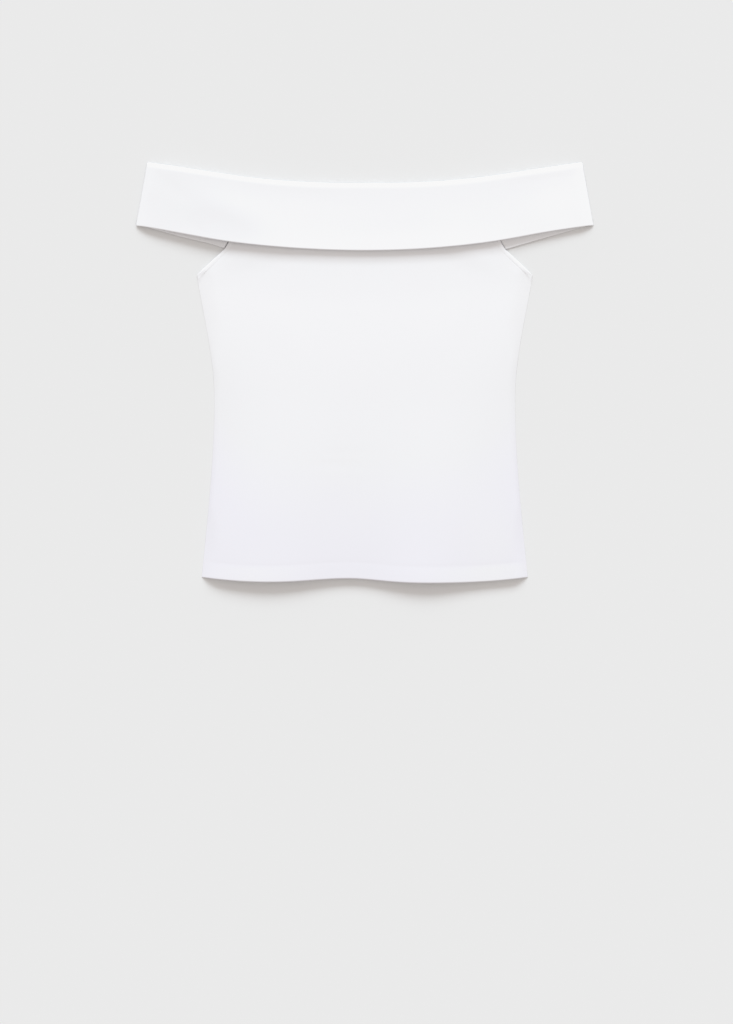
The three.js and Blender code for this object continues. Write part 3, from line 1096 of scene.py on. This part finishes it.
def knit():
    return material_named("White Double Knit", white_double_knit)


# Light, surroundings and camera

FLOOR_SIZE = 12
LIGHT_TURNS = (-22, 0, 22)  # degrees sideways, one light each
LIGHT_ENERGY = 3.41  # of all of them
LIGHT_COLOUR = (0.856, 0.944, 1.0)
SURROUNDINGS = (1.0, 0.945, 0.91, 1)
SURROUNDINGS_STRENGTH = 0.72
SHOULDER = ((0.92, 0.92), (0.95, 0.935))  # levels of light, and the levels shown for them
WHITEST = (1, 0.942)
PICTURE_MIDDLE = Vector((2 * MM, -157.6 * MM))
PICTURE_HEIGHT = 1024 * 1.13 * MM  # pixels, and the size of one at the garment
CAMERA_HEIGHT = 2.0


def soften_highlights(view):
    """Plain colours up to the white of the cloth, and a soft shoulder above it."""
    view.view_transform = "Standard"
    view.use_curve_mapping = True
    mapping = view.curve_mapping
    mapping.extend = "HORIZONTAL"
    curve = mapping.curves[3]
    curve.points[1].location = WHITEST
    for level, shown in SHOULDER:
        curve.points.new(level, shown)
    for point in curve.points:
        point.handle_type = "VECTOR"
    mapping.update()


class TOP_OT_stage(bpy.types.Operator):
    """Adds the surface, the soft light, the surroundings and the camera"""

    bl_idname = "top.stage"
    bl_label = "Surface, Light and Camera"

    def execute(self, context):
        finish = context.scene.top_finish
        bpy.ops.object.select_all(action="DESELECT")
        bpy.ops.mesh.primitive_plane_add(size=FLOOR_SIZE, location=(0, 0, 0))
        paper = context.object
        paper.name = "surface"
        paper.data.materials.append(matt_paper(finish))

        for sideways in LIGHT_TURNS:
            key = bpy.data.lights.new("soft_light", "SUN")
            key.energy = LIGHT_ENERGY / len(LIGHT_TURNS)
            key.color = LIGHT_COLOUR
            key.angle = finish.key_spread
            lamp = bpy.data.objects.new("soft_light", key)
            tilt = -(math.pi / 2 - finish.key_height)
            lamp.rotation_euler = (tilt, 0, math.radians(sideways))
            context.scene.collection.objects.link(lamp)

        world = bpy.data.worlds.new("studio")
        world.use_nodes = True
        background = world.node_tree.nodes["Background"]
        background.inputs["Color"].default_value = SURROUNDINGS
        background.inputs["Strength"].default_value = SURROUNDINGS_STRENGTH
        context.scene.world = world
        soften_highlights(context.scene.view_settings)

        camera = bpy.data.objects.new("camera", bpy.data.cameras.new("camera"))
        camera.location = (*PICTURE_MIDDLE, CAMERA_HEIGHT)
        from_cloth = CAMERA_HEIGHT - MIDDLE
        camera.data.lens = camera.data.sensor_width * from_cloth / PICTURE_HEIGHT
        context.scene.collection.objects.link(camera)
        context.scene.camera = camera
        return {"FINISHED"}


class TOP_OT_body(bpy.types.Operator):
    """Makes the front and back panels of the body"""

    bl_idname = "top.body"
    bl_label = "Front and Back Panels"

    def execute(self, context):
        sizes = context.scene.top_sizes
        back_panel(sizes, knit())
        front_panel(sizes, knit())
        return {"FINISHED"}


class TOP_OT_bindings(bpy.types.Operator):
    """Makes the bindings of the armhole edges and the stitches that hold them"""

    bl_idname = "top.bindings"
    bl_label = "Armhole Bindings"

    def execute(self, context):
        sizes = context.scene.top_sizes
        thread = material_named("Sewing Thread", sewing_thread)
        for side in (-1, 1):
            stitches = binding_stitches(sizes, side, thread)
            front = armhole_binding(sizes, side, True, knit())
            back = armhole_binding(sizes, side, False, knit())
        return {"FINISHED"}


class TOP_OT_straps(bpy.types.Operator):
    """Makes the two shoulder straps"""

    bl_idname = "top.straps"
    bl_label = "Shoulder Straps"

    def execute(self, context):
        sizes = context.scene.top_sizes
        for side in (-1, 1):
            shoulder_strap(sizes, side, knit())
        return {"FINISHED"}


class TOP_OT_collar(bpy.types.Operator):
    """Makes the front and the back of the fold-over collar"""

    bl_idname = "top.collar"
    bl_label = "Fold-Over Collar"

    def execute(self, context):
        sizes = context.scene.top_sizes
        collar(sizes, True, knit())
        collar(sizes, False, knit())
        return {"FINISHED"}


STEPS_IN_ORDER = (TOP_OT_stage, TOP_OT_body, TOP_OT_bindings, TOP_OT_straps, TOP_OT_collar)


class TOP_PT_panel(bpy.types.Panel):
    """Lists the steps that build the top"""

    bl_idname = "TOP_PT_panel"
    bl_label = "Knit Top"
    bl_space_type = "VIEW_3D"
    bl_region_type = "UI"
    bl_category = "Knit Top"

    def draw(self, context):
        for group in (context.scene.top_sizes, context.scene.top_finish):
            for name in group.bl_rna.properties.keys():
                if name not in {"rna_type", "name"}:
                    self.layout.prop(group, name)
        for step in STEPS_IN_ORDER:
            self.layout.operator(step.bl_idname)


CLASSES = (TopSizes, TopFinish, *STEPS_IN_ORDER, TOP_PT_panel)


def register():
    for item in CLASSES:
        bpy.utils.register_class(item)
    bpy.types.Scene.top_sizes = bpy.props.PointerProperty(type=TopSizes)
    bpy.types.Scene.top_finish = bpy.props.PointerProperty(type=TopFinish)


def unregister():
    del bpy.types.Scene.top_finish
    del bpy.types.Scene.top_sizes
    for item in reversed(CLASSES):
        bpy.utils.unregister_class(item)


def main():
    register()
    bpy.ops.top.stage()
    bpy.ops.top.body()
    bpy.ops.top.bindings()
    bpy.ops.top.straps()
    bpy.ops.top.collar()


if __name__ == "__main__":
    main()
